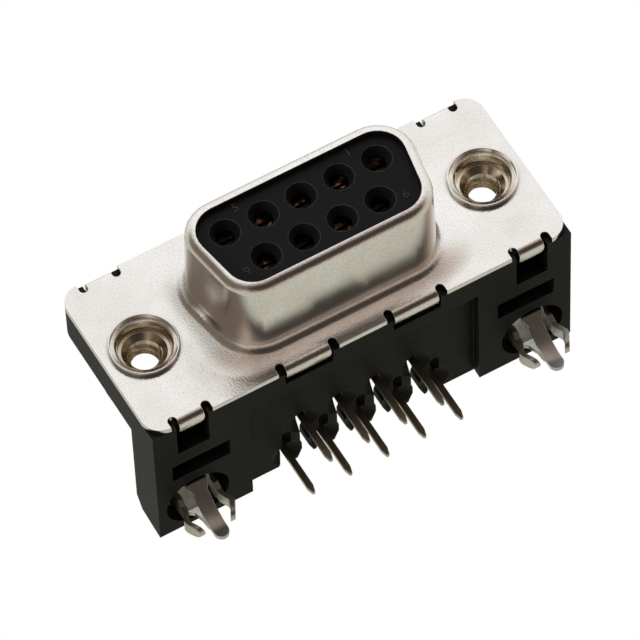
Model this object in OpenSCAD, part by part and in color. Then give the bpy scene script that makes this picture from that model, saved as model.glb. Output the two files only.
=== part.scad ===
// Nine-way right-angle D-subminiature receptacle for a printed circuit board.
// Frame: X runs to the right as seen from the mating side, Y runs back from the
// front face of the flange, and Z runs up from the board that the feet stand on.

/* [Shell flange] */
// Distance between the two threaded inserts
insert_spacing = 24.99; // [24.7:0.01:25.2]
// Distance from the middle of an insert to the end of the flange
flange_end = 2.91; // [2.6:0.01:3.2]
// Height of the flange, and of the housing behind it
flange_h = 12.5; // [12:0.05:13.5]
// Radius of the flange corners
flange_corner_r = 1.4; // [1:0.1:2.2]
// Thickness of the sheet that the shell is drawn from
sheet_t = 0.4; // [0.3:0.05:0.45]

/* [Shell shroud] */
// Width of the D at its rim, over the wide side
shroud_w = 16.33; // [16.1:0.01:16.6]
// Height of the D at its rim
shroud_h = 7.9; // [7.7:0.01:8.1]
// How far the rim stands in front of the flange
shroud_reach = 6.3; // [5.8:0.05:6.6]
// Outer corner radius of the D at its rim
shroud_corner_r = 2.6; // [2.4:0.05:2.8]
// Lean of the two short sides of the D
shroud_side_angle = 10; // [8:0.5:12]
// Draft of the drawn wall
shroud_draft = 1.5; // [0:0.25:2]
// Radius where the wall turns out into the flange
shroud_base_r = 0.6; // [0.4:0.05:0.8]
// Outer radius of the edge that is rolled in at the rim
rim_r = 0.6; // [0.5:0.05:0.7]
// Width of the flat lip past that bend
rim_lip = 0.12; // [0.05:0.01:0.3]

/* [Crimp tabs] */
// Width of the tabs above and below each insert
outer_tab_w = 1.8; // [1.4:0.1:2]
// Width of the tabs above and below the shroud
inner_tab_w = 3.25; // [2.5:0.05:4]
// Distance of an inner tab from the middle
inner_tab_x = 3.97; // [3.4:0.01:5]
// How far a tab reaches back from the front face of the flange
tab_reach = 1.25; // [1.1:0.05:1.6]
// Outer radius of the bend of a tab
tab_bend_r = 0.5; // [0.5:0.05:0.6]
// How far a tab is folded past the square
tab_lean = 14; // [4:1:18]
// Corner radius at the end of a tab
tab_corner_r = 0.3; // [0.1:0.05:0.5]
// Width of the relief notch on each side of a tab
notch_w = 0.6; // [0.5:0.05:0.8]
// Depth of the relief notches
notch_depth = 0.75; // [0.65:0.05:1.1]

/* [Contacts] */
// Distance between neighbouring contacts in a row
contact_pitch = 2.77; // [2.7:0.01:2.8]
// Distance between the two rows, both at the face and on the board
row_pitch = 2.84; // [2.75:0.01:2.9]
// Outer diameter of the socket barrel
barrel_d = 1.6; // [1.4:0.05:1.7]
// Bore of the socket barrel, for a mating pin of 1 mm
barrel_bore = 1.05; // [1.02:0.01:1.1]
// Chamfer inside the mouth of the barrel
barrel_chamfer = 0.15; // [0.05:0.05:0.2]
// Length of the two slits in the barrel
barrel_slit_l = 2.6; // [1.5:0.1:3]
// Width of the two slits in the barrel
barrel_slit_w = 0.2; // [0.1:0.05:0.3]
// Diameter of the collar that seats in the housing
collar_d = 2.2; // [2.1:0.05:2.3]
// Length of the collar
collar_l = 1.5; // [1:0.1:2]
// Thickness of the solid end of the barrel in front of the collar
barrel_end_t = 0.6; // [0.3:0.1:1]
// Width of the tail, across the row
tail_w = 0.45; // [0.35:0.05:0.45]
// Thickness of the tail
tail_t = 0.3; // [0.2:0.05:0.4]
// Outer radius of the bend of the tail
tail_bend_r = 0.9; // [0.6:0.05:1.1]
// How far the tail reaches below the board plane
tail_below = 2.8; // [2.4:0.1:3.5]
// Length of the tapered tip of the tail
tail_tip_l = 0.5; // [0.3:0.1:0.8]
// Distance of the first tail row behind the front face of the flange
first_row_y = 8.08; // [7.9:0.01:8.4]

/* [Housing] */
// Thickness of the mounting plate behind the flange
plate_t = 2.7; // [2.5:0.05:3]
// Gap between the face of the insulator and the back of the rolled rim
face_gap = 0.05; // [0.02:0.01:0.2]
// Gap between the insulator and the inside of the shroud
nose_gap = 0.05; // [0.03:0.01:0.1]
// Chamfer round the face of the insulator
nose_chamfer = 0.15; // [0.1:0.05:0.3]
// Diameter of the funnels in the face that lead the pins in
entry_d = 2.05; // [1.8:0.05:2.15]
// Depth of the funnels
entry_funnel_l = 0.55; // [0.3:0.05:0.8]
// Diameter at the narrow end of the funnels
entry_throat_d = 1.3; // [1.15:0.05:1.45]
// Length of the narrow part
entry_throat_l = 0.35; // [0.2:0.05:0.6]
// Clearance of the cavities round the barrels
cavity_gap = 0.08; // [0.03:0.01:0.12]
// Clearance between pieces that sit on each other
fit_gap = 0.03; // [0.01:0.01:0.06]
// How far behind the front face of the flange the seat of the collars lies
collar_seat_y = 0.9; // [0.7:0.1:1.2]
// Depth of the block that holds the contacts, from the front face of the flange
block_y = 6.6; // [5.8:0.1:6.8]
// Height of that block above the axis of the connector
block_above_axis = 4.1; // [3.2:0.1:4.6]
// Width of the feet
foot_w = 6.9; // [6.4:0.05:7.2]
// Depth of the feet from the front face of the flange
foot_y = 12.15; // [12:0.05:12.6]
// Distance from the axis of the connector down to the top of the feet
foot_drop = 3.25; // [3.15:0.05:3.4]
// Depth of the chamfer at the top rear of the feet, from front to back
foot_chamfer_y = 1.2; // [0.5:0.05:1.5]
// Height of that chamfer
foot_chamfer_h = 0.65; // [0.3:0.05:1]
// How far the rear of the feet leans forward below the chamfer
foot_lean = 0.25; // [0.05:0.05:0.4]
// Height of the recess under the middle of the housing
middle_rise = 0.75; // [0.5:0.05:0.9]
// Where that recess begins, behind the front face of the flange
middle_recess_y = 2.4; // [1.9:0.1:2.8]
// Thickness of the comb that spaces the tails
comb_t = 1.2; // [1:0.05:1.5]
// Width of the slots in the comb
slot_w = 0.72; // [0.6:0.02:0.8]
// Width of the throat that a tail snaps through
throat_w = 0.5; // [0.48:0.02:0.56]
// Length of the throat
throat_l = 0.7; // [0.5:0.1:0.9]
// Width of the mouth of a slot at the rear edge
mouth_w = 1.2; // [1:0.05:1.3]
// Length of the taper in front of the throat
throat_taper_l = 0.3; // [0.2:0.05:0.5]
// Clearance between a tail and the front end of its slot
slot_front_gap = 0.04; // [0.02:0.01:0.1]
// How far the slots of the upper row start behind the front tail row
upper_slot_start = 0.32; // [0.1:0.02:0.6]
// Gap on each side of a crimp tab in its pocket
pocket_gap = 0.15; // [0.05:0.05:0.3]
// Gap between the end of a crimp tab and the end of its pocket
pocket_end_gap = 0.25; // [0.05:0.05:0.4]
// Diameter of the relief round each tail under the comb
relief_d = 2.3; // [1.8:0.1:2.5]
// Depth of the relief round each tail
relief_depth = 0.5; // [0.3:0.05:0.7]

/* [Feet openings] */
// Width of the window behind each outer tab
window_w = 2.36; // [2.3:0.02:2.8]
// How far the window reaches back from the front face of the flange
window_y = 3.4; // [3:0.1:3.8]
// Depth of the window
window_depth = 1.3; // [0.8:0.1:1.8]
// Width of the core slot across each foot
core_slot_w = 4.25; // [3.5:0.05:4.5]
// How far the middle of the core slot lies inwards from the middle of the insert
core_slot_shift = 0.46; // [0.2:0.02:0.7]
// Near edge of the core slot, behind the front face of the flange
core_slot_y = 4.65; // [4.4:0.05:4.8]
// Length of the core slot from front to back
core_slot_l = 1.65; // [1.2:0.05:1.9]
// Depth of the core slot
core_slot_depth = 2.1; // [1:0.1:2.4]

/* [Threaded inserts] */
// Diameter of the bore of the 4-40 thread
insert_bore_d = 2.24; // [2.15:0.01:2.4]
// Length of the threaded bore
thread_l = 1.5; // [1.2:0.1:1.8]
// Depth at which the thread starts, from the front face of the flange
thread_y = 1.0; // [0.8:0.05:1.2]
// Outer diameter of the body
insert_body_d = 4.0; // [3.9:0.05:4.2]
// How far the flared lip reaches out over the flange
insert_lip_w = 0.33; // [0.25:0.01:0.45]
// Height of the flared lip
insert_lip_h = 0.33; // [0.28:0.01:0.45]
// Radius of the outer edge of the lip
insert_lip_r = 0.08; // [0.04:0.01:0.12]
// Wall left round the counterbore at its mouth
counterbore_wall = 0.17; // [0.13:0.01:0.25]
// Taper of the counterbore, on the diameter
counterbore_taper = 0.24; // [0:0.02:0.3]
// Depth of the counterbore, from the front face of the flange
counterbore_y = 0.6; // [0.4:0.05:0.8]
// Diameter at which the funnel to the thread begins
insert_funnel_d = 3.0; // [2.6:0.05:3.2]
// Height of the bead round the counterbore
bead_h = 0.22; // [0.15:0.01:0.26]
// Diameter of the head at the rear
insert_head_d = 5.3; // [4.9:0.1:5.4]
// Height of the head at the rear
insert_head_h = 0.7; // [0.5:0.1:1]
// Diameter of the countersink in the head
rear_sink_d = 4.3; // [3.6:0.1:4.8]
// Clearance of the holes round the insert
insert_gap = 0.05; // [0.02:0.01:0.1]

/* [Boardlocks] */
// Thickness of the boardlock sheet
lock_t = 0.35; // [0.25:0.05:0.4]
// Width of the strap
strap_w = 5.0; // [4.8:0.1:5.2]
// Radius of the eye round the insert
strap_eye_r = 2.85; // [2.7:0.05:2.9]
// Outer radius of the bend of the strap
strap_bend_r = 0.6; // [0.5:0.05:0.7]
// Diameter of the hole in the foot that the prongs pass through
lock_hole_d = 4.6; // [4.5:0.1:4.8]
// Width of the square collar that the prongs grow from
lock_collar_w = 3.4; // [3.2:0.05:3.5]
// Corner radius of that collar
lock_collar_r = 0.7; // [0.6:0.05:0.9]
// Height above the board at which the prongs part
lock_split_z = 1.2; // [0.8:0.1:1.6]
// Width of the roots of the prongs
prong_root_w = 1.5; // [1.2:0.05:1.6]
// Width of the prongs below the roots
prong_w = 1.0; // [0.8:0.05:1.1]
// Radius to which the side prongs bulge
prong_bulge_r = 1.82; // [1.7:0.02:1.95]
// How far the front prong reaches below the board plane
front_prong_below = 3.6; // [3.2:0.1:3.8]
// How far the other prongs reach below the board plane
prong_below = 2.65; // [2.4:0.05:3]

/* [Hidden] */
$fn = 48;
over = 1;                                     // how far a cutting body overruns a face
nip = 0.01;                                   // how far parts of one solid run into each other
axis_z = flange_h / 2;                        // height of the connector axis above the board
insert_x = insert_spacing / 2;
half_w = insert_x + flange_end;
foot_h = axis_z - foot_drop;
foot_inner_x = half_w - foot_w;
core_slot_x = insert_x - core_slot_shift;
plate_y = sheet_t + plate_t;                  // rear face of the mounting plate
second_row_y = first_row_y + row_pitch;
lock_y = first_row_y + row_pitch / 2;
face_z = shroud_reach - sheet_t - face_gap;   // insulator face, forward of the flange
base_r = shroud_corner_r + (shroud_reach - shroud_base_r) * tan(shroud_draft);
rim_edge_r = shroud_corner_r - rim_r - rim_lip;
shroud_seam = 0.2;                            // how far the foot of the wall runs into the flange
nose_r = shroud_corner_r - sheet_t - nose_gap;
lower_slot_y = first_row_y - slot_w / 2 - slot_front_gap;
upper_slot_y = first_row_y + upper_slot_start;
throat_y = second_row_y - throat_l / 2;
comb_top = middle_rise + comb_t;
strap_end_y = lock_y + strap_w / 2;
eye_clear = insert_body_d / 2 + insert_gap;
barrel_front = face_z - entry_funnel_l - entry_throat_l - fit_gap;
cavity_d = barrel_d + 2 * cavity_gap;
collar_bore_d = collar_d + 2 * fit_gap;
prong_foot_z = lock_split_z + 0.1;            // the prongs start a little above the split
prong_shoulder_z = -0.05;                     // where the wide roots of the prongs end
prong_neck_z = -0.45;                         // where the prongs have narrowed

// Outer faces of the prongs, seen from the side: distance out from the collar and height.
front_prong = [[0, prong_foot_z], [0, 0.1], [-1.15, -1.5], [-1.5, -2.6], [-1.45, -front_prong_below]];
rear_prong = [[0, prong_foot_z], [0, 0.1], [-1.1, -1.5], [-1.4, -prong_below]];
bulge = prong_bulge_r - lock_collar_w / 2;
side_prong = [
    [0, prong_foot_z],
    [-0.25, 0.3],
    [-0.2, -0.8],
    [bulge, -1.45],
    [bulge - 0.05, -1.75],
    [bulge - 0.55, -prong_below],
];

// The D is drawn by spokes: the centre of a corner arc and an angle, anticlockwise
// from the upper right. A radius laid off along every spoke gives one outline.
d_x_top = shroud_w / 2 - shroud_corner_r;
d_up = shroud_h / 2 - shroud_corner_r;
d_x_low = d_x_top - 2 * d_up * tan(shroud_side_angle);
d_corners = [
    [[d_x_top, d_up], -shroud_side_angle, 90],
    [[-d_x_top, d_up], 90, 180 + shroud_side_angle],
    [[-d_x_low, -d_up], 180 + shroud_side_angle, 270],
    [[d_x_low, -d_up], 270, 360 - shroud_side_angle],
];
d_steps = 8;                                  // facets of one corner arc
d_spokes = [for (c = d_corners) for (i = [0 : d_steps]) [c[0], c[1] + (c[2] - c[1]) * i / d_steps]];

tabs = [
    [-insert_x, outer_tab_w],
    [-inner_tab_x, inner_tab_w],
    [inner_tab_x, inner_tab_w],
    [insert_x, outer_tab_w],
];

// Contacts 1 to 5 run from right to left in the upper row, 6 to 9 in the lower.
function in_upper(n) = n <= 5;
function contact_x(n) = in_upper(n) ? (3 - n) * contact_pitch : (7.5 - n) * contact_pitch;
function contact_up(n) = in_upper(n) ? row_pitch / 2 : -row_pitch / 2;
function tail_y(n) = in_upper(n) ? second_row_y : first_row_y;
function arc(centre, r, from, to, steps = 6) =
    [for (i = [0 : steps]) let (a = from + (to - from) * i / steps) centre + r * [cos(a), sin(a)]];

// Puts a shape drawn as seen from the front, with its z towards the viewer, in place.
module facing() {
    translate([0, 0, axis_z]) rotate([90, 0, 0]) children();
}

// Extrudes a side profile, drawn with y to the right and z up, across the width.
module across(width, x = 0) {
    translate([x - width / 2, 0, 0]) rotate([90, 0, 90]) linear_extrude(width) children();
}

// The D at one radius of its corners.
function d_outline(r) = [for (spoke = d_spokes) spoke[0] + r * [cos(spoke[1]), sin(spoke[1])]];

// A body whose sides follow the D, from a list of [corner radius, height] going up,
// closed by a flat face at each end, or joined end to end into a ring.
module d_body(profile, ring = false) {
    around = len(d_spokes);
    levels = len(profile);
    polyhedron(
        points = [for (level = profile) for (p = d_outline(level[0])) [p[0], p[1], level[1]]],
        faces = concat(
            [for (i = [0 : levels - (ring ? 1 : 2)]) for (k = [0 : around - 1])
                let (up = (i + 1) % levels, on = (k + 1) % around)
                    [i * around + k, up * around + k, up * around + on, i * around + on]],
            ring ? [] : [
                [for (k = [0 : around - 1]) k],
                [for (k = [around - 1 : -1 : 0]) (levels - 1) * around + k],
            ]
        )
    );
}

module at_inserts() {
    for (side = [-1, 1]) translate([side * insert_x, 0, 0]) children();
}

// ---- Front shell ----

// The drawn wall: it turns up out of the flange and its rim is rolled in over the insulator.
module shroud_wall() {
    base = [base_r + shroud_base_r, shroud_base_r];
    rim = [shroud_corner_r - rim_r, shroud_reach - rim_r];
    d_body(ring = true, profile = concat(
        [[base[0] + shroud_seam, 0]],
        arc(base, shroud_base_r, 270, 180),
        arc(rim, rim_r, 0, 90),
        [[rim_edge_r, shroud_reach], [rim_edge_r, shroud_reach - sheet_t]],
        arc(rim, rim_r - sheet_t, 90, 0, 3),
        arc(base, shroud_base_r + sheet_t, 180, 270),
        [[base[0] + shroud_seam, -sheet_t]]
    ));
}

// Plan of a tab, with rounded corners at its end.
module tab_outline(width) {
    side = width / 2 - tab_corner_r;
    end = tab_reach - tab_corner_r;
    polygon(concat(
        [[-width / 2, -over], [width / 2, -over]],
        arc([side, end], tab_corner_r, 0, 90),
        arc([-side, end], tab_corner_r, 90, 180)
    ));
}

// One tab at the lower edge of the flange: a bend and a flat, cut to length by its plan.
module crimp_tab(x, width) {
    bend = [tab_bend_r, tab_bend_r];
    flat = tab_reach * [cos(tab_lean), sin(tab_lean)];
    outer = arc(bend, tab_bend_r, 180, 270 + tab_lean);
    inner = arc(bend, tab_bend_r - sheet_t, 270 + tab_lean, 180, 3);
    intersection() {
        across(width + over, x) polygon(concat(
            outer,
            [outer[len(outer) - 1] + flat, inner[0] + flat],
            inner
        ));
        translate([x, 0, -over]) linear_extrude(tab_bend_r + 2 * over) tab_outline(width);
    }
}

// The blank that a tab and its two notches take out of the lower edge of the flange.
module tab_blank(x, width) {
    translate([x, -axis_z]) {
        for (side = [-1, 1]) translate([side * (width + notch_w) / 2, 0]) {
            translate([-notch_w / 2, -over]) square([notch_w, over + notch_depth - notch_w / 2]);
            translate([0, notch_depth - notch_w / 2]) circle(d = notch_w);
        }
        translate([-width / 2, -over]) square([width, over + tab_bend_r]);
    }
}

module flange_outline() {
    x = half_w - flange_corner_r;
    z = axis_z - flange_corner_r;
    polygon(concat(
        arc([x, z], flange_corner_r, 0, 90, 12),
        arc([-x, z], flange_corner_r, 90, 180, 12),
        arc([-x, -z], flange_corner_r, 180, 270, 12),
        arc([x, -z], flange_corner_r, 270, 360, 12)
    ));
}

module front_shell() {
    color("#d8d3c8") {
        facing() difference() {
            translate([0, 0, -sheet_t]) linear_extrude(sheet_t) difference() {
                flange_outline();
                for (flip = [0, 1]) mirror([0, flip]) for (tab = tabs) tab_blank(tab[0], tab[1]);
                at_inserts() circle(r = eye_clear);
            }
            translate([0, 0, -sheet_t - over]) linear_extrude(sheet_t + 2 * over)
                polygon(d_outline(base_r + shroud_base_r));
        }
        facing() shroud_wall();
        for (tab = tabs) {
            crimp_tab(tab[0], tab[1]);
            translate([0, 0, flange_h]) mirror([0, 0, 1]) crimp_tab(tab[0], tab[1]);
        }
    }
}

// ---- Housing ----

module plate_outline() {
    x = half_w - flange_corner_r;
    z = axis_z - flange_corner_r;
    polygon(concat(
        [[-half_w, -axis_z], [half_w, -axis_z]],
        arc([x, z], flange_corner_r, 0, 90, 12),
        arc([-x, z], flange_corner_r, 90, 180, 12)
    ));
}

module foot(side) {
    across(foot_w, side * (half_w - foot_w / 2)) polygon([
        [sheet_t, 0],
        [foot_y, 0],
        [foot_y - foot_lean, foot_h - foot_chamfer_h],
        [foot_y - foot_chamfer_y, foot_h],
        [sheet_t, foot_h],
    ]);
}

// A slot of the comb: straight, then a throat, then a flared mouth at the rear edge.
module comb_slot(x, start_y) {
    translate([x, 0, middle_rise - over]) linear_extrude(comb_t + 2 * over) polygon(concat(
        arc([0, start_y + slot_w / 2], slot_w / 2, 180, 360),
        [
            [slot_w / 2, throat_y - throat_taper_l],
            [throat_w / 2, throat_y],
            [throat_w / 2, throat_y + throat_l],
            [mouth_w / 2, foot_y],
            [mouth_w / 2, foot_y + over],
            [-mouth_w / 2, foot_y + over],
            [-mouth_w / 2, foot_y],
            [-throat_w / 2, throat_y + throat_l],
            [-throat_w / 2, throat_y],
            [-slot_w / 2, throat_y - throat_taper_l],
        ]
    ));
}

// The way through the insulator for one contact: pin funnel, barrel cavity, collar seat.
module cavity(n) {
    throat_end = face_z - entry_funnel_l;
    cavity_end = throat_end - entry_throat_l;
    facing() translate([contact_x(n), contact_up(n), 0]) {
        translate([0, 0, throat_end]) cylinder(h = entry_funnel_l, d1 = entry_throat_d, d2 = entry_d);
        translate([0, 0, cavity_end - nip]) cylinder(h = entry_throat_l + 2 * nip, d = entry_throat_d);
        translate([0, 0, -collar_seat_y - nip])
            cylinder(h = cavity_end + collar_seat_y + nip, d = cavity_d);
        translate([0, 0, -block_y - over])
            cylinder(h = block_y + over - collar_seat_y, d = collar_bore_d);
    }
}

module housing_body() {
    facing() {
        d_body([[nose_r, -plate_y], [nose_r, face_z - nose_chamfer], [nose_r - nose_chamfer, face_z]]);
        translate([0, 0, -plate_y]) linear_extrude(plate_t) plate_outline();
    }
    for (side = [-1, 1]) foot(side);
    across(2 * foot_inner_x) polygon([
        [sheet_t, 0],
        [middle_recess_y, 0],
        [middle_recess_y, middle_rise],
        [foot_y, middle_rise],
        [foot_y, comb_top],
        [block_y, comb_top],
        [block_y, axis_z + block_above_axis],
        [sheet_t, axis_z + block_above_axis],
    ]);
}

// Height of the face that a tab is folded on, at the depth y.
function tab_seat(y) =
    let (inner_r = tab_bend_r - sheet_t)
        tab_bend_r - inner_r / cos(tab_lean) + (y - tab_bend_r) * tan(tab_lean) + fit_gap;

// The pocket that a tab lies in, cut clear of the inside of its bend.
module tab_pocket(x, width) {
    rear = tab_reach + pocket_end_gap;
    across(width + 2 * pocket_gap, x) polygon([
        [sheet_t - over, -over],
        [rear, -over],
        [rear, tab_seat(rear)],
        [tab_bend_r, tab_seat(tab_bend_r)],
        [sheet_t, tab_bend_r + fit_gap],
        [sheet_t - over, tab_bend_r + fit_gap],
    ]);
}

module housing() {
    color("#2a2a28") difference() {
        housing_body();
        translate([-foot_inner_x, middle_recess_y, -over])
            cube([2 * foot_inner_x, foot_y, over + middle_rise]);
        for (n = [1 : 9]) {
            cavity(n);
            comb_slot(contact_x(n), in_upper(n) ? upper_slot_y : lower_slot_y);
            translate([contact_x(n), tail_y(n), middle_rise - nip])
                cylinder(h = relief_depth + nip, d1 = relief_d, d2 = slot_w);
        }
        facing() at_inserts() translate([0, 0, -plate_y - over])
            cylinder(h = plate_t + 2 * over, r = eye_clear);
        for (flip = [0, 1]) translate([0, 0, flip * flange_h]) mirror([0, 0, flip]) for (tab = tabs)
            tab_pocket(tab[0], tab[1]);
        at_inserts() translate([-window_w / 2, sheet_t - over, -over])
            cube([window_w, window_y - sheet_t + over, over + window_depth]);
        for (side = [-1, 1]) translate([side * core_slot_x - core_slot_w / 2, core_slot_y, -over])
            cube([core_slot_w, core_slot_l, over + core_slot_depth]);
        at_inserts() translate([0, lock_y, -over]) cylinder(h = foot_h + 2 * over, d = lock_hole_d);
    }
}

// ---- Contacts ----

module socket_barrel() {
    seat = -collar_seat_y;
    mouth = barrel_front - barrel_chamfer;
    mouth_d = barrel_bore + 2 * (barrel_chamfer + nip);
    difference() {
        translate([0, 0, seat - nip]) cylinder(h = barrel_front - seat + nip, d = barrel_d);
        translate([0, 0, seat + barrel_end_t]) cylinder(h = barrel_front, d = barrel_bore);
        translate([0, 0, mouth])
            cylinder(h = barrel_chamfer + nip, d1 = barrel_bore, d2 = mouth_d);
        translate([-barrel_d, -barrel_slit_w / 2, barrel_front - barrel_slit_l])
            cube([2 * barrel_d, barrel_slit_w, barrel_slit_l + over]);
    }
    translate([0, 0, seat - collar_l]) cylinder(h = collar_l, d = collar_d);
}

// The tail runs back from the collar, bends down, and ends in a tapered tip.
module tail(n) {
    up = axis_z + contact_up(n);
    rear = tail_y(n) + tail_t / 2;
    bend = [rear - tail_bend_r, up + tail_t / 2 - tail_bend_r];
    tip = -tail_below;
    start = collar_seat_y + collar_l - 10 * nip;
    translate([contact_x(n), 0, 0]) {
        across(tail_w) polygon(concat(
            [[start, up - tail_t / 2]],
            arc(bend, tail_bend_r - tail_t, 90, 0),
            arc(bend, tail_bend_r, 0, 90),
            [[start, up + tail_t / 2]]
        ));
        translate([0, rear, 0]) rotate([90, 0, 0]) linear_extrude(tail_t) polygon([
            [-tail_w / 2, bend[1]],
            [-tail_w / 2, tip + tail_tip_l],
            [-tail_w / 5, tip],
            [tail_w / 5, tip],
            [tail_w / 2, tip + tail_tip_l],
            [tail_w / 2, bend[1]],
        ]);
    }
}

module contact(n) {
    color("#9a8358") {
        facing() translate([contact_x(n), contact_up(n), 0]) socket_barrel();
        tail(n);
    }
}

// ---- Threaded inserts ----

// Turned insert, riveted over the flange: a flared lip, a bead round the counterbore, a
// funnel to the thread, and a head behind the strap of the boardlock.
module insert(side) {
    body = insert_body_d / 2;
    bore = insert_bore_d / 2;
    lip = body + insert_lip_w;
    mouth = body - counterbore_wall;
    floor_r = mouth - counterbore_taper / 2;
    under_head = -plate_y - lock_t;
    rear = under_head - insert_head_h;
    edge = [lip - insert_lip_r, insert_lip_h - insert_lip_r];
    color("#b9b2a2") facing() translate([side * insert_x, 0, 0]) rotate_extrude() polygon(concat(
        [
            [bore, -thread_y - thread_l],
            [bore, -thread_y],
            [insert_funnel_d / 2, -counterbore_y],
            [floor_r, -counterbore_y],
            [mouth, bead_h / 2],
            [(mouth + body) / 2, bead_h],
            [body + insert_gap, bead_h / 2],
        ],
        arc(edge, insert_lip_r, 120, 0),
        [
            [lip, 0],
            [body, 0],
            [body, under_head],
            [insert_head_d / 2, under_head],
            [insert_head_d / 2, rear],
            [rear_sink_d / 2, rear],
        ]
    ));
}

// ---- Boardlocks ----

// Front outline of a prong: a wide root, shoulders, and a rounded tip.
module prong_outline(below) {
    root = prong_root_w / 2;
    neck = prong_w / 2;
    polygon(concat(
        [
            [root, prong_foot_z - nip],
            [-root, prong_foot_z - nip],
            [-root, prong_shoulder_z],
            [-neck, prong_neck_z],
        ],
        arc([0, neck - below], neck, 180, 360, 8),
        [[neck, prong_neck_z], [root, prong_shoulder_z]]
    ));
}

// A prong bent out of strip: its side view across the strip, cut to its front outline.
module prong(side_view, below) {
    outer = [for (p = side_view) p + [lock_collar_w / 2, 0]];
    inner = [for (i = [len(outer) - 1 : -1 : 0]) outer[i] - [lock_t, 0]];
    depth = lock_collar_w + over;
    intersection() {
        across(prong_root_w + over) polygon(concat(outer, inner));
        translate([0, depth, 0]) rotate([90, 0, 0]) linear_extrude(2 * depth) prong_outline(below);
    }
}

module prongs() {
    prong(rear_prong, prong_below);
    rotate(180) prong(front_prong, front_prong_below);
    for (turn = [90, 270]) rotate(turn) prong(side_prong, prong_below);
}

module rounded_square(width, r) {
    half = width / 2 - r;
    polygon(concat(
        arc([half, half], r, 0, 90),
        arc([-half, half], r, 90, 180),
        arc([-half, -half], r, 180, 270),
        arc([half, -half], r, 270, 360)
    ));
}

module boardlock(side) {
    bend = [plate_y + strap_bend_r, foot_h + strap_bend_r];
    hole_r = lock_collar_r - lock_t;
    color("#c4bfb4") translate([side * insert_x, 0, 0]) {
        difference() {
            union() {
                across(strap_w) polygon(concat(
                    [[plate_y, axis_z]],
                    arc(bend, strap_bend_r, 180, 270),
                    [[strap_end_y, foot_h], [strap_end_y, foot_h + lock_t]],
                    arc(bend, strap_bend_r - lock_t, 270, 180),
                    [[plate_y + lock_t, axis_z]]
                ));
                facing() translate([0, 0, -plate_y - lock_t]) cylinder(h = lock_t, r = strap_eye_r);
            }
            facing() translate([0, 0, -plate_y - lock_t - over])
                cylinder(h = lock_t + 2 * over, r = eye_clear);
            translate([0, lock_y, foot_h - over]) linear_extrude(lock_t + 2 * over)
                rounded_square(lock_collar_w - 2 * lock_t, hole_r);
        }
        translate([0, lock_y, lock_split_z]) linear_extrude(foot_h + lock_t - lock_split_z) difference() {
            rounded_square(lock_collar_w, lock_collar_r);
            rounded_square(lock_collar_w - 2 * lock_t, hole_r);
        }
        translate([0, lock_y, 0]) prongs();
    }
}

front_shell();
housing();
for (n = [1 : 9]) contact(n);
insert(-1);  // insert_left
insert(1);  // insert_right
boardlock(-1);  // boardlock_left
boardlock(1);  // boardlock_right
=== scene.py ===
# %% [markdown]
# # A nine-way D-sub connector
#
# This is the kind of connector that once carried every serial port: a D-shaped steel
# shroud round nine sockets, bent pins at the back, and two clips that hold it to a board.
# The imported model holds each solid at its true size, in metres, with the board plane at
# Z 0 and the mating face towards -Y. What is left for this lesson is the look: smooth
# shading on the curved metal, the threads, the raised numbers, the finishes and the light.

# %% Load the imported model
import math

import bpy
from mathutils import Matrix, Vector


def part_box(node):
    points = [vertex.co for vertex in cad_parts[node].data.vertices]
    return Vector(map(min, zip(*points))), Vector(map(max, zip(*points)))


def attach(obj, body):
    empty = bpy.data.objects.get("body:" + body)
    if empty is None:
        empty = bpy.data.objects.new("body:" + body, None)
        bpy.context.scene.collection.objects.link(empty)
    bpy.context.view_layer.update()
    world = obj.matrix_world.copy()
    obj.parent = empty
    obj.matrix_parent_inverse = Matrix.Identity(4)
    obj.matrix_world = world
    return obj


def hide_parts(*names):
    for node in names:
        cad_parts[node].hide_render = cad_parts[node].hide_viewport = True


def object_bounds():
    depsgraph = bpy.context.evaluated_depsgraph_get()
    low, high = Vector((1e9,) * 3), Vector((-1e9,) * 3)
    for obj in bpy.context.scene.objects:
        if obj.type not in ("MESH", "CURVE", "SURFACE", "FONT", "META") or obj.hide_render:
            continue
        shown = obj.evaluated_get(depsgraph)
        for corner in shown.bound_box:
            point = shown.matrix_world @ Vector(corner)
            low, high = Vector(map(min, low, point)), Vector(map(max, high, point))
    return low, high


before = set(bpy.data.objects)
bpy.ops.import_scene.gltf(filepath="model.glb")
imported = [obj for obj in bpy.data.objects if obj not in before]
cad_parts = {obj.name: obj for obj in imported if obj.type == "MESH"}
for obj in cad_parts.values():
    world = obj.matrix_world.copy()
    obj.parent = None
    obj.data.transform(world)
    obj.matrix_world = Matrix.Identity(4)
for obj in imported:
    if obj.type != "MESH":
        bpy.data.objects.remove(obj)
cad_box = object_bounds()
MM = 0.001

print("nodes:", ", ".join(sorted(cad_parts)))
print("size in mm:", [round(side / MM, 2) for side in cad_box[1] - cad_box[0]])

# %% [markdown]
# ## The camera
#
# A small part is seen best from well back through a long lens, so that near and far
# edges stay almost parallel. The camera here stands in front of the connector, to its
# left and below the board plane, which shows the sockets, the tails and the clips at
# once. A camera is placed by three unit vectors: what points right in its view, what
# points down, and the way it looks. Blender's camera has right, up and back as the
# columns of its matrix, so the last two change sign.

# %% Camera
RIGHT = Vector((0.86649, 0.02430, -0.49860))
DOWN = Vector((-0.42999, 0.54371, -0.72076))
FORWARD = Vector((0.25358, 0.83892, 0.48157))
STAND = Vector((-116.2707, -378.4114, -214.9679)) * MM

lens = bpy.data.cameras.new("camera")
lens.sensor_width = 36
lens.lens = 398.60
lens.clip_start = 0.01
lens.clip_end = 10
camera = bpy.data.objects.new("camera", lens)
bpy.context.scene.collection.objects.link(camera)
turned = Matrix((RIGHT, -DOWN, -FORWARD)).transposed().to_4x4()
turned.translation = STAND
camera.matrix_world = turned
bpy.context.scene.camera = camera
print("camera stands", round(STAND.length / MM), "mm from the origin")

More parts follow.
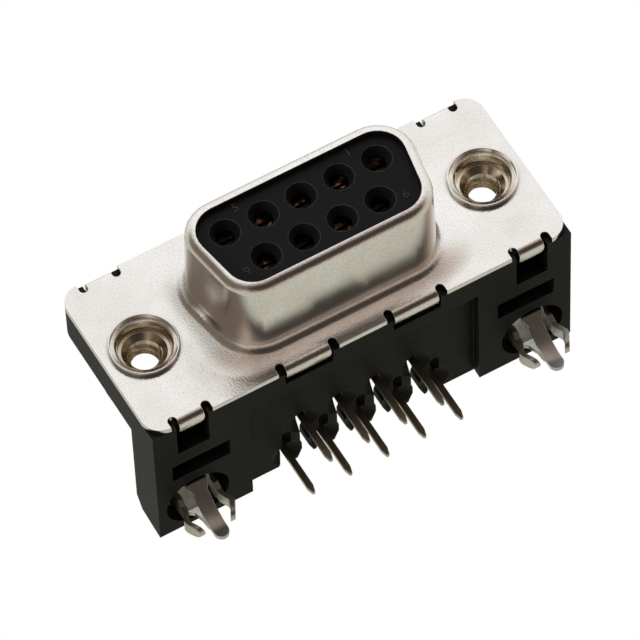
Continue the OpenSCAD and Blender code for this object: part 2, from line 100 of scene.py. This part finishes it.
# %% [markdown]
# ## Measures from the solids
#
# Everything added later has to sit on the solids, so the axes and the face that it sits
# on are read from their boxes and not typed in. The axis of an insert is the middle of its
# box, the insulator's face is the front of the housing, and a contact's axis is the middle
# of its box across the row, one collar radius below its top.

# %% Measures
COLLAR_R = 1.1 * MM


def middle(node):
    """The middle of a node's box."""
    low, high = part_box(node)
    return (low + high) / 2


def socket_axis(number):
    """Where the axis of a contact meets the face of the insulator."""
    low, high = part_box(f"contact_{number}")
    return Vector(((low.x + high.x) / 2, face_y, high.z - COLLAR_R))


face_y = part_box("housing")[0].y
insert_axes = [middle("insert_left"), middle("insert_right")]
print("face of the insulator at y =", round(face_y / MM, 2), "mm")
print("inserts at x =", [round(axis.x / MM, 2) for axis in insert_axes], "mm")

# %% [markdown]
# ## Three small helpers
#
# Operators act on everything that is selected, and the load leaves the solids selected.
# So each job starts by selecting one object alone. Placing a finished piece means
# writing its place into its mesh, because every finished piece sits at the origin. And an
# operator of edit mode needs that mode, with the whole mesh selected.

# %% Helpers
def select_only(piece):
    """Makes one object the only selected one, and the active one."""
    bpy.ops.object.select_all(action="DESELECT")
    piece.select_set(True)
    bpy.context.view_layer.objects.active = piece


def settle(piece):
    """Writes an object's place, turn and scale into its mesh."""
    select_only(piece)
    bpy.ops.object.transform_apply(location=True, rotation=True, scale=True)


def whole_mesh(operator, **settings):
    """Runs one edit-mode operator on all of the active mesh."""
    bpy.ops.object.mode_set(mode="EDIT")
    bpy.ops.mesh.select_all(action="SELECT")
    operator(**settings)
    bpy.ops.object.mode_set(mode="OBJECT")


# %% [markdown]
# ## Smooth metal
#
# The solids arrive as loose triangles with hard shading, and a drawn steel wall shows
# each facet as a stripe. Subdividing would move the surface off its true size. Joining
# the triangles at their shared corners and shading smooth, with a limit of 30 degrees so
# that real edges stay sharp, changes nothing but the look. The solid itself is left
# alone: a merged copy takes its place.

# %% Merged copies of the metal pieces
JOIN_WITHIN = 0.0005 * MM
SHARP_EDGE = math.radians(30)


def merged_copy(node):
    """A copy of a solid with its triangles joined and its curves shaded smooth."""
    piece = bpy.data.objects.new(node + "_skin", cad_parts[node].data.copy())
    bpy.context.scene.collection.objects.link(piece)
    select_only(piece)
    bpy.ops.mesh.customdata_custom_splitnormals_clear()
    whole_mesh(bpy.ops.mesh.remove_doubles, threshold=JOIN_WITHIN)
    bpy.ops.object.shade_smooth_by_angle(angle=SHARP_EDGE)
    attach(piece, "root")
    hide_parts(node)
    return piece


shell = merged_copy("front_shell")
inserts = [merged_copy(f"insert_{side}") for side in ("left", "right")]
boardlocks = [merged_copy(f"boardlock_{side}") for side in ("left", "right")]
contacts = [merged_copy(f"contact_{n}") for n in range(1, 10)]
print("shell:", len(shell.data.vertices), "vertices after joining")

# %% [markdown]
# ## The threads in the inserts
#
# Each insert takes a 4-40 jackscrew, forty turns to the inch, so the ridge climbs
# 0.635 mm each turn. It could be faked with a bump, but the light would then fall
# straight through a smooth tube. A real ridge is easy: a small four-cornered outline is
# swept by a Screw modifier, which turns it round the Z axis while it climbs. The outer
# corner stays buried in the wall, so the ridge grows out of the metal. The ridge is made
# once, and the second insert gets a copy with a mesh of its own.

# %% Thread ridge
BORE_R = 1.12 * MM
PITCH = 0.635 * MM
TURNS = 2
STEPS_PER_TURN = 40
RIDGE = 0.17 * MM
RIDGE_STRETCH = 1.35
THREAD_START = 1.15 * MM

bpy.ops.object.select_all(action="DESELECT")
bpy.ops.mesh.primitive_circle_add(vertices=4, radius=RIDGE, rotation=(math.pi / 2, 0, 0))
ridge = bpy.context.object
ridge.name = "thread_left"
settle(ridge)
whole_mesh(bpy.ops.transform.resize, value=(1, 1, RIDGE_STRETCH))
whole_mesh(bpy.ops.transform.translate, value=(BORE_R, 0, 0))
screw = ridge.modifiers.new("thread", "SCREW")
screw.axis = "Z"
screw.screw_offset = PITCH
screw.iterations = TURNS
screw.steps = STEPS_PER_TURN
screw.render_steps = STEPS_PER_TURN
bpy.ops.object.modifier_apply(modifier=screw.name)
whole_mesh(bpy.ops.mesh.fill_holes, sides=4)
whole_mesh(bpy.ops.mesh.normals_make_consistent, inside=False)
bpy.ops.object.shade_smooth_by_angle(angle=math.radians(40))
print("one ridge has", len(ridge.data.polygons), "faces")


# %% Both threads
def seated(piece, axis):
    """Turns the upright ridge to face the front and moves it into an insert's bore."""
    piece.rotation_euler = (-math.pi / 2, 0, 0)
    piece.location = (axis.x, THREAD_START, axis.z)
    settle(piece)
    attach(piece, "root")
    return piece


second = bpy.data.objects.new("thread_right", ridge.data.copy())
bpy.context.scene.collection.objects.link(second)
threads = [seated(ridge, insert_axes[0]), seated(second, insert_axes[1])]
print("threads:", [thread.name for thread in threads])

# %% [markdown]
# ## The numbers on the insulator
#
# The mould leaves small raised numbers beside the first and last contact of each row, so
# that a wire can be traced: 1 and 5 above the upper row, 6 and 9 beside the lower one.
# They are text objects, given a little depth, turned into a mesh and laid on the face.

# %% Raised numbers
NUMBER_H = 0.9 * MM
NUMBER_RISE = 0.05 * MM
# How far each number stands from the axis of its socket, in mm: across, up
NUMBER_PLACES = {1: (-1.35, 1.28), 5: (1.5, 1.28), 6: (1.6, -0.5), 9: (-1.6, -0.5)}


def raised_number(number, across, up):
    """A contact number on the face, set off from the axis of its own socket."""
    bpy.ops.object.text_add(rotation=(math.pi / 2, 0, 0))
    mark = bpy.context.object
    mark.name = f"number_{number}"
    mark.data.body = str(number)
    mark.data.size = NUMBER_H
    mark.data.extrude = NUMBER_RISE
    mark.data.align_x = "CENTER"
    mark.data.align_y = "CENTER"
    mark.location = socket_axis(number) + Vector((across, 0, up))
    select_only(mark)
    bpy.ops.object.convert(target="MESH")
    mark = bpy.context.object
    settle(mark)
    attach(mark, "root")
    return mark


numbers = [
    raised_number(number, across * MM, up * MM)
    for number, (across, up) in NUMBER_PLACES.items()
]
print("numbers:", [mark.name for mark in numbers])

# %% [markdown]
# ## Building a material
#
# Every finish below is a small graph round one Principled shader. It starts from an empty
# material and ends by leading a colour, a roughness and a normal into the shader.

# %% Starting and closing a finish
def new_finish(name):
    """An empty finish: its tree, its shader, and a node that gives Object coordinates."""
    material = bpy.data.materials.new(name)
    material.use_nodes = True
    tree = material.node_tree
    shader = tree.nodes["Principled BSDF"]
    place = tree.nodes.new("ShaderNodeTexCoord").outputs["Object"]
    return material, tree, shader, place


def led_in(tree, shader, tint, roughness, surface, metallic=1.0):
    """Leads a finish's colour, roughness and normal into its shader."""
    tree.links.new(tint, shader.inputs["Base Color"])
    tree.links.new(roughness, shader.inputs["Roughness"])
    tree.links.new(surface, shader.inputs["Normal"])
    shader.inputs["Metallic"].default_value = metallic


def wear(pieces, material):
    """Gives every listed piece this one material."""
    for piece in pieces:
        piece.data.materials.clear()
        piece.data.materials.append(material)
    print(material.name, "on", ", ".join(piece.name for piece in pieces))


# %% [markdown]
# ## Patterns
#
# Patterns read Object coordinates, which here are metres in the frame of the part, so a
# grain of 0.2 mm is a noise with a scale of 5000. A Map Range node picks the part of a
# noise that counts, and a Mix node turns it into a colour between two others.

# %% Patterns
def stretched(tree, place, scale):
    """The coordinates, scaled by a different amount along each axis."""
    mapping = tree.nodes.new("ShaderNodeMapping")
    mapping.inputs["Scale"].default_value = scale
    tree.links.new(place, mapping.inputs["Vector"])
    return mapping.outputs["Vector"]


def noise(tree, place, scale, detail, rough=0.5):
    """A noise pattern from 0 to 1."""
    pattern = tree.nodes.new("ShaderNodeTexNoise")
    pattern.inputs["Scale"].default_value = scale
    pattern.inputs["Detail"].default_value = detail
    pattern.inputs["Roughness"].default_value = rough
    tree.links.new(place, pattern.inputs["Vector"])
    return pattern.outputs["Fac"]


def between(tree, value, low, high, to_low, to_high, shape="LINEAR"):
    """Carries a value from one range to another, held at the ends."""
    carry = tree.nodes.new("ShaderNodeMapRange")
    carry.interpolation_type = shape
    carry.inputs["From Min"].default_value = low
    carry.inputs["From Max"].default_value = high
    carry.inputs["To Min"].default_value = to_low
    carry.inputs["To Max"].default_value = to_high
    tree.links.new(value, carry.inputs["Value"])
    return carry.outputs["Result"]


def mixed(tree, amount, first, second):
    """Two colours, or a colour and a pattern's colour, mixed by an amount."""
    mix = tree.nodes.new("ShaderNodeMix")
    mix.data_type = "RGBA"
    tree.links.new(amount, mix.inputs["Factor"])
    for socket, colour in ((mix.inputs["A"], first), (mix.inputs["B"], second)):
        if isinstance(colour, tuple):
            socket.default_value = (*colour, 1)
        else:
            tree.links.new(colour, socket)
    return mix.outputs["Result"]


# %% [markdown]
# ## Edges and grain
#
# A Bevel node rounds the shading of sharp edges over a few hundredths of a millimetre, as
# tumbling and moulding round the real ones. Grain and lines too fine to model are laid
# over that normal by Bump nodes, one after the other.

# %% Edges and grain
def rounded_edges(tree, radius):
    """A normal that turns softly over each sharp edge."""
    bevel = tree.nodes.new("ShaderNodeBevel")
    bevel.samples = 6
    bevel.inputs["Radius"].default_value = radius
    return bevel.outputs["Normal"]


def bumped(tree, height, depth, normal, strength=1.0):
    """Lays a height pattern, in metres at full height, over a normal."""
    bump = tree.nodes.new("ShaderNodeBump")
    bump.inputs["Strength"].default_value = strength
    bump.inputs["Distance"].default_value = depth
    tree.links.new(height, bump.inputs["Height"])
    tree.links.new(normal, bump.inputs["Normal"])
    return bump.outputs["Normal"]


# %% [markdown]
# ## Corners and distances
#
# Painted shade goes into inside corners, which an Ambient Occlusion node finds: it
# measures how much of the space round a point is open. Other marks depend on a distance,
# and a chain of Vector Math nodes works that out from the coordinates.

# %% Corners and distances
def crevices(tree, reach, open_at):
    """1 deep in inside corners and 0 on open faces."""
    occlusion = tree.nodes.new("ShaderNodeAmbientOcclusion")
    occlusion.samples = 8
    occlusion.inputs["Distance"].default_value = reach
    return between(tree, occlusion.outputs["AO"], 0.35, open_at, 1, 0)


def chained(tree, value, *steps):
    """Sends coordinates through Vector Math nodes, each an operation and what it takes."""
    for operation, *taken in steps:
        node = tree.nodes.new("ShaderNodeVectorMath")
        node.operation = operation
        if taken:
            node.inputs[1].default_value = taken[0]
        tree.links.new(value, node.inputs[0])
        value = node.outputs["Value" if operation == "LENGTH" else "Vector"]
    return value


# %% [markdown]
# ## Plated steel
#
# The shell is stamped from thin steel and plated with tin. New plating is pale and a
# little warm, with a fine frosted grain and faint stains where it was rinsed. Colour and
# roughness follow the stains, a broad noise. Small dark specks and the frosting follow a
# fine one. Draw lines along the shroud, which the punch pulled out of the flat sheet, are
# a noise stretched along Y, the way the metal moved. The pressed sheet is slightly wavy,
# and its inside corners are darkened with painted shade.
#
# The punch also pulls the flange in a little round the shroud. The solid has the short
# radius at the foot of the wall. The slight lean of the sheet beyond it is a bump, which
# fades over 3 mm with the distance from a core, a rectangle in the middle of the shroud.

# %% Plated steel
PALE_TIN = (0.93, 0.915, 0.895)
STAINED_TIN = (0.87, 0.84, 0.805)
SPECK = (0.52, 0.47, 0.43)
# the colour of the painted shade in inside corners
CORNER_SHADE = (0.20, 0.165, 0.14)
STAIN_SCALE = 260
FROST_SCALE = 8500
WAVE_SCALE = 170
DRAW_SCALES = (5200, 240, 5200)
CORE_HALF = (6.4 * MM, 0, 2.2 * MM)
LEAN_FROM = 0.7 * MM
LEAN_TO = 3.7 * MM
LEAN_DEPTH = 0.42 * MM

plated_steel, tree, shader, place = new_finish("plated_steel")
rounded = rounded_edges(tree, 0.05 * MM)
stains = between(tree, noise(tree, place, STAIN_SCALE, detail=5, rough=0.6), 0.38, 0.68, 0, 1)
specks = between(tree, noise(tree, place, FROST_SCALE, detail=3, rough=0.6), 0.50, 0.72, 0, 0.5)
# painted shade: inside corners, found by Ambient Occlusion, are darkened
corners = between(tree, crevices(tree, 0.6 * MM, open_at=0.80), 0, 1, 0, 0.8)
tint = mixed(tree, stains, PALE_TIN, STAINED_TIN)
tint = mixed(tree, specks, tint, SPECK)
tint = mixed(tree, corners, tint, CORNER_SHADE)
core = chained(
    tree,
    place,
    ("SUBTRACT", (0, 0, insert_axes[0].z)),
    ("ABSOLUTE",),
    ("SUBTRACT", CORE_HALF),
    ("MAXIMUM", (0, 0, 0)),
    ("MULTIPLY", (1, 0, 1)),
    ("LENGTH",),
)
lean = between(tree, core, LEAN_FROM, LEAN_TO, 1, 0, "SMOOTHSTEP")
waves = noise(tree, place, WAVE_SCALE, detail=1)
draw_lines = noise(tree, stretched(tree, place, DRAW_SCALES), 1.0, detail=4)
frost = noise(tree, place, FROST_SCALE, detail=2)
surface = bumped(tree, lean, LEAN_DEPTH, rounded)
surface = bumped(tree, waves, 0.07 * MM, surface, strength=0.35)
surface = bumped(tree, draw_lines, 0.006 * MM, surface, strength=0.6)
surface = bumped(tree, frost, 0.012 * MM, surface, strength=0.9)
led_in(tree, shader, tint, between(tree, stains, 0, 1, 0.17, 0.25), surface)
wear([shell], plated_steel)

# %% [markdown]
# ## Wear and painted highlight along edges, and depth
#
# Where the rounded normal differs from the flat one there is an edge, so comparing the
# two gives a mask for edges painted paler, partly for rubbing and partly as a painted
# highlight. Depth is simpler: the mating face looks along -Y, so how deep a point lies is
# its Y.

# %% Wear and painted highlight along edges, and depth
def edge_mask(tree, normal):
    """1 along sharp edges and 0 on flat faces, from how far the rounded normal turned."""
    flat = tree.nodes.new("ShaderNodeNewGeometry").outputs["Normal"]
    compare = tree.nodes.new("ShaderNodeVectorMath")
    compare.operation = "DOT_PRODUCT"
    tree.links.new(normal, compare.inputs[0])
    tree.links.new(flat, compare.inputs[1])
    return between(tree, compare.outputs["Value"], 0.90, 0.999, 1.0, 0.0)


def along_y(tree, place, start, end):
    """0 before one place along Y and 1 after another, both in metres."""
    split = tree.nodes.new("ShaderNodeSeparateXYZ")
    tree.links.new(place, split.inputs[0])
    return between(tree, split.outputs["Y"], start, end, 0, 1)


# %% [markdown]
# ## Black plastic
#
# The housing is a polyester filled with glass fibre, which has to survive the heat of
# soldering. It is matte, nearly black, and the spark-eroded mould gives it a fine even
# grain. The melt leaves faint flow marks, so two blacks alternate. The nose inside the
# shroud gets the deepest black as painted shade, and recesses are darkened with painted
# shade too. Corners that left the mould sharp are a shade paler, partly where they scuff
# and partly as a painted highlight.

# %% Black plastic
MOULDED_BLACK = (0.0078, 0.0081, 0.0083)
FLOW_BLACK = (0.0120, 0.0120, 0.0117)
# painted shade: the black of the nose inside the shroud
NOSE_SHADE = (0.0045, 0.0047, 0.0052)
# painted shade: the black of the recesses
RECESS_SHADE = (0.003, 0.003, 0.003)
# paler edges: partly scuffs, partly a painted highlight
SCUFF_AND_HIGHLIGHT = (0.085, 0.085, 0.082)
FLOW_SCALE = 220
SPARK_SCALE = 7000
MATTE_SPECULAR = 0.12

black_plastic, tree, shader, place = new_finish("black_plastic")
rounded = rounded_edges(tree, 0.06 * MM)
flow = noise(tree, stretched(tree, place, (1, 0.4, 1)), FLOW_SCALE, detail=4)
# painted shade: in front of Y -5 mm the nose inside the shroud is darkest
past_nose_shade = along_y(tree, place, -5.0 * MM, -2.0 * MM)
# painted shade: recesses, found by Ambient Occlusion, are darkened
recess_shade = between(tree, crevices(tree, 1.6 * MM, open_at=0.95), 0, 1, 0, 0.9)
# paler edges of the housing, partly scuffs and partly a painted highlight
scuffs_and_highlights = between(tree, edge_mask(tree, rounded), 0, 1, 0, 0.75)
tint = mixed(tree, between(tree, flow, 0.35, 0.7, 0, 1), MOULDED_BLACK, FLOW_BLACK)
tint = mixed(tree, past_nose_shade, NOSE_SHADE, tint)
tint = mixed(tree, recess_shade, tint, RECESS_SHADE)
tint = mixed(tree, scuffs_and_highlights, tint, SCUFF_AND_HIGHLIGHT)
sparks = noise(tree, place, SPARK_SCALE, detail=3, rough=0.6)
roughness = between(tree, sparks, 0.3, 0.7, 0.46, 0.62)
surface = bumped(tree, sparks, 0.010 * MM, rounded, strength=0.5)
led_in(tree, shader, tint, roughness, surface, metallic=0.0)
shader.inputs["Specular IOR Level"].default_value = MATTE_SPECULAR
wear([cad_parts["housing"], *numbers], black_plastic)

# %% [markdown]
# ## Contact alloy
#
# The contacts are a copper alloy under a thin dull plating. It has tarnished unevenly to
# a pale bronze, fine rolling lines run along the strip, and its edges are paler, partly
# rubbed and partly a painted highlight. Inside the sockets the shade is painted: the
# colour there falls to almost black by depth, and a few small copper spots in it are
# painted glints.

# %% Contact alloy
PALE_BRONZE = (0.62, 0.57, 0.48)
TARNISHED_BRONZE = (0.42, 0.37, 0.30)
# paler edges: partly rubbing, partly a painted highlight
RUBBED_EDGE_AND_HIGHLIGHT = (0.80, 0.72, 0.60)
# painted shade: the colour of the contacts inside the sockets
MOUTH_SHADE = (0.009, 0.007, 0.006)
# painted glint: the copper colour of small spots in the dark sockets
COPPER_GLINT = (0.20, 0.075, 0.045)
TARNISH_SCALE = 700
GLINT_SCALE = 1500
ROLLING_SCALES = (9000, 900, 500)

contact_alloy, tree, shader, place = new_finish("contact_alloy")
rounded = rounded_edges(tree, 0.03 * MM)
tarnish = between(tree, noise(tree, place, TARNISH_SCALE, detail=4, rough=0.6), 0.36, 0.66, 0, 1)
# painted glints: small copper spots in the dark sockets
painted_glints = between(tree, noise(tree, place, GLINT_SCALE, detail=1), 0.58, 0.68, 0, 1)
# painted shade: in front of Y 0.5 mm the contacts fall to near black
past_mouth_shade = along_y(tree, place, 0.5 * MM, 2.0 * MM)
tint = mixed(tree, tarnish, PALE_BRONZE, TARNISHED_BRONZE)
# paler edges of the contacts, partly rubbing and partly a painted highlight
tint = mixed(tree, edge_mask(tree, rounded), tint, RUBBED_EDGE_AND_HIGHLIGHT)
mouth_shade_and_glints = mixed(tree, painted_glints, MOUTH_SHADE, COPPER_GLINT)
tint = mixed(tree, past_mouth_shade, mouth_shade_and_glints, tint)
rolling = noise(tree, stretched(tree, place, ROLLING_SCALES), 1.0, detail=3)
surface = bumped(tree, rolling, 0.004 * MM, rounded, strength=0.6)
led_in(tree, shader, tint, between(tree, tarnish, 0, 1, 0.30, 0.44), surface)
wear(contacts, contact_alloy)

# %% [markdown]
# ## Turned nickel
#
# The inserts are turned on a lathe and nickel plated, so their marks are rings round
# their own axis. Folding X about the middle of the part puts both axes at one place, and
# the distance from it drives a one-dimensional noise: the same value all round a ring.
# Plating is thinner down a bore, so the lip is pale and the inside is browner.

# %% Turned nickel
LIP_NICKEL = (0.92, 0.895, 0.855)
LIP_PATINA = (0.82, 0.785, 0.73)
BORE_NICKEL = (0.80, 0.72, 0.60)
BORE_PATINA = (0.55, 0.47, 0.37)
PATINA_SCALE = 900
RING_SCALE = 14000

turned_nickel, tree, shader, place = new_finish("turned_nickel")
rounded = rounded_edges(tree, 0.03 * MM)
patina = between(tree, noise(tree, place, PATINA_SCALE, detail=4, rough=0.6), 0.35, 0.68, 0, 1)
lip_tint = mixed(tree, patina, LIP_NICKEL, LIP_PATINA)
bore_tint = mixed(tree, patina, BORE_NICKEL, BORE_PATINA)
tint = mixed(tree, along_y(tree, place, -0.1 * MM, 0.35 * MM), lip_tint, bore_tint)
from_axis = chained(
    tree,
    place,
    ("ABSOLUTE",),
    ("SUBTRACT", (insert_axes[1].x, 0, insert_axes[1].z)),
    ("MULTIPLY", (1, 0, 1)),
    ("LENGTH",),
)
rings = tree.nodes.new("ShaderNodeTexNoise")
rings.noise_dimensions = "1D"
rings.inputs["Scale"].default_value = RING_SCALE
rings.inputs["Detail"].default_value = 2
tree.links.new(from_axis, rings.inputs["W"])
surface = bumped(tree, rings.outputs["Fac"], 0.004 * MM, rounded, strength=0.5)
led_in(tree, shader, tint, between(tree, patina, 0, 1, 0.14, 0.24), surface)
wear([*inserts, *threads], turned_nickel)

# %% [markdown]
# ## Tinned spring strip
#
# The boardlocks are spring strip with a soft matt tin that solders well. The prongs are
# formed after plating, which leaves them slightly streaked along their length.

# %% Tinned strip
MATT_TIN = (0.70, 0.69, 0.66)
CLOUDED_TIN = (0.50, 0.485, 0.455)
CLOUD_SCALE = 800
STREAK_SCALES = (6000, 6000, 500)

tinned_strip, tree, shader, place = new_finish("tinned_strip")
rounded = rounded_edges(tree, 0.05 * MM)
cloud = between(tree, noise(tree, place, CLOUD_SCALE, detail=4, rough=0.6), 0.35, 0.7, 0, 1)
streaks = noise(tree, stretched(tree, place, STREAK_SCALES), 1.0, detail=3)
tint = mixed(tree, cloud, MATT_TIN, CLOUDED_TIN)
surface = bumped(tree, streaks, 0.005 * MM, rounded, strength=0.6)
led_in(tree, shader, tint, between(tree, cloud, 0, 1, 0.32, 0.44), surface)
wear(boardlocks, tinned_strip)

# %% [markdown]
# ## The floor
#
# The part stands on the tips of its front prongs, so the floor lies at the bottom of its
# box. The camera looks up from below that plane, and a solid floor would hide the part.
# A studio would use a sheet of glass. Here the floor has one side only: seen from above
# it is pale and takes the shadow, and from below it isn't there. It lets the light of
# the panels through, bounced light finds it darker than the camera does, and reflections
# miss it.

# %% Floor
FLOOR_SIDE = 0.9
FLOOR_SEEN = (0.86, 0.86, 0.86)
FLOOR_LIT = (0.30, 0.27, 0.235)


def either(tree, first, second):
    """1 where one of two values is 1."""
    larger = tree.nodes.new("ShaderNodeMath")
    larger.operation = "MAXIMUM"
    tree.links.new(first, larger.inputs[0])
    tree.links.new(second, larger.inputs[1])
    return larger.outputs[0]


bpy.ops.mesh.primitive_grid_add(
    x_subdivisions=4, y_subdivisions=4, size=FLOOR_SIDE, location=(0, 0, cad_box[0].z)
)
floor = bpy.context.object
floor.name = "floor"
settle(floor)
floor.visible_glossy = False
print("floor at z =", round(cad_box[0].z / MM, 2), "mm")

# %% Pale floor
pale_floor, tree, shader, _ = new_finish("pale_floor")
path = tree.nodes.new("ShaderNodeLightPath").outputs
below = tree.nodes.new("ShaderNodeNewGeometry").outputs["Backfacing"]
tint = mixed(tree, path["Is Camera Ray"], FLOOR_LIT, FLOOR_SEEN)
tree.links.new(tint, shader.inputs["Base Color"])
shader.inputs["Roughness"].default_value = 0.9
shader.inputs["Specular IOR Level"].default_value = 0.1
clear = tree.nodes.new("ShaderNodeBsdfTransparent")
side = tree.nodes.new("ShaderNodeMixShader")
tree.links.new(either(tree, below, path["Is Shadow Ray"]), side.inputs[0])
tree.links.new(shader.outputs[0], side.inputs[1])
tree.links.new(clear.outputs[0], side.inputs[2])
tree.links.new(side.outputs[0], tree.nodes["Material Output"].inputs["Surface"])
wear([floor], pale_floor)

# %% [markdown]
# ## The light
#
# Black plastic and bright metal ask for opposite things: a dark thing shows only what
# lights it directly, and a bright metal shows only what stands round it. In an even white
# room plated metal would look flat, so a studio puts darker cards round it. The world
# here does the same. The camera sees plain white. Reflections see white high in front,
# greenish grey behind and below, a patch low in front that goes from pinkish to dark, and
# a brown one at the left. Rough surfaces get that same world at under half its strength.

# %% World
ROUGH_STRENGTH = 0.45
WHITE = (1.0, 1.0, 1.0)
GREENISH_GREY = (0.55, 0.545, 0.46)
PINKISH = (0.54, 0.43, 0.36)
DARK = (0.05, 0.042, 0.036)
BROWN = (0.17, 0.135, 0.105)
HIGH_FRONT = (0.43, -0.54, 0.72)
LOW_FRONT = (0.10, -0.72, -0.69)
LEFT = (-0.79, -0.59, 0.16)

studio = bpy.data.worlds.new("studio")
bpy.context.scene.world = studio
studio.use_nodes = True
tree = studio.node_tree
around = tree.nodes.new("ShaderNodeTexCoord").outputs["Generated"]
path = tree.nodes.new("ShaderNodeLightPath").outputs


def towards(direction, far, near):
    """0 where the world lies away from a direction, and 1 close to it."""
    facing = tree.nodes.new("ShaderNodeVectorMath")
    facing.operation = "DOT_PRODUCT"
    facing.inputs[1].default_value = direction
    tree.links.new(around, facing.inputs[0])
    return between(tree, facing.outputs["Value"], far, near, 0, 1)


tint = mixed(tree, towards(HIGH_FRONT, 0.1, 0.95), GREENISH_GREY, WHITE)
tint = mixed(tree, towards(LOW_FRONT, 0.36, 0.66), tint, PINKISH)
tint = mixed(tree, towards(LOW_FRONT, 0.66, 0.88), tint, DARK)
tint = mixed(tree, towards(LEFT, 0.62, 0.86), tint, BROWN)
tint = mixed(tree, path["Is Camera Ray"], tint, WHITE)
mirrored = either(tree, path["Is Glossy Ray"], path["Is Transmission Ray"])
seen = either(tree, path["Is Camera Ray"], mirrored)
background = tree.nodes["Background"]
tree.links.new(tint, background.inputs["Color"])
tree.links.new(between(tree, seen, 0, 1, ROUGH_STRENGTH, 1.0), background.inputs["Strength"])
print("the world has strength 1 where it is seen, and", ROUGH_STRENGTH, "on rough surfaces")

# %% [markdown]
# ## The panels
#
# Three large soft panels model the shapes: one high in front, one low at the left, and a
# weaker one high behind. Reflections don't show them, so no square glint gives them away.

# %% Panels
def panel(name, place, size, power):
    """A soft square light that faces the middle of the part."""
    light = bpy.data.lights.new(name, "AREA")
    light.size = size
    light.energy = power
    lamp = bpy.data.objects.new(name, light)
    bpy.context.scene.collection.objects.link(lamp)
    target = (cad_box[0] + cad_box[1]) / 2
    lamp.location = Vector(place)
    lamp.rotation_euler = (target - lamp.location).to_track_quat("-Z", "Y").to_euler()
    lamp.visible_glossy = False
    print(name, "gives", power, "W")


panel("front_panel", place=(0.10, -0.40, 0.30), size=0.30, power=2.2)
panel("left_panel", place=(-0.40, -0.15, 0.02), size=0.25, power=2.0)
panel("rear_panel", place=(0.10, 0.40, 0.30), size=0.30, power=1.4)
bpy.context.scene.view_settings.view_transform = "Standard"
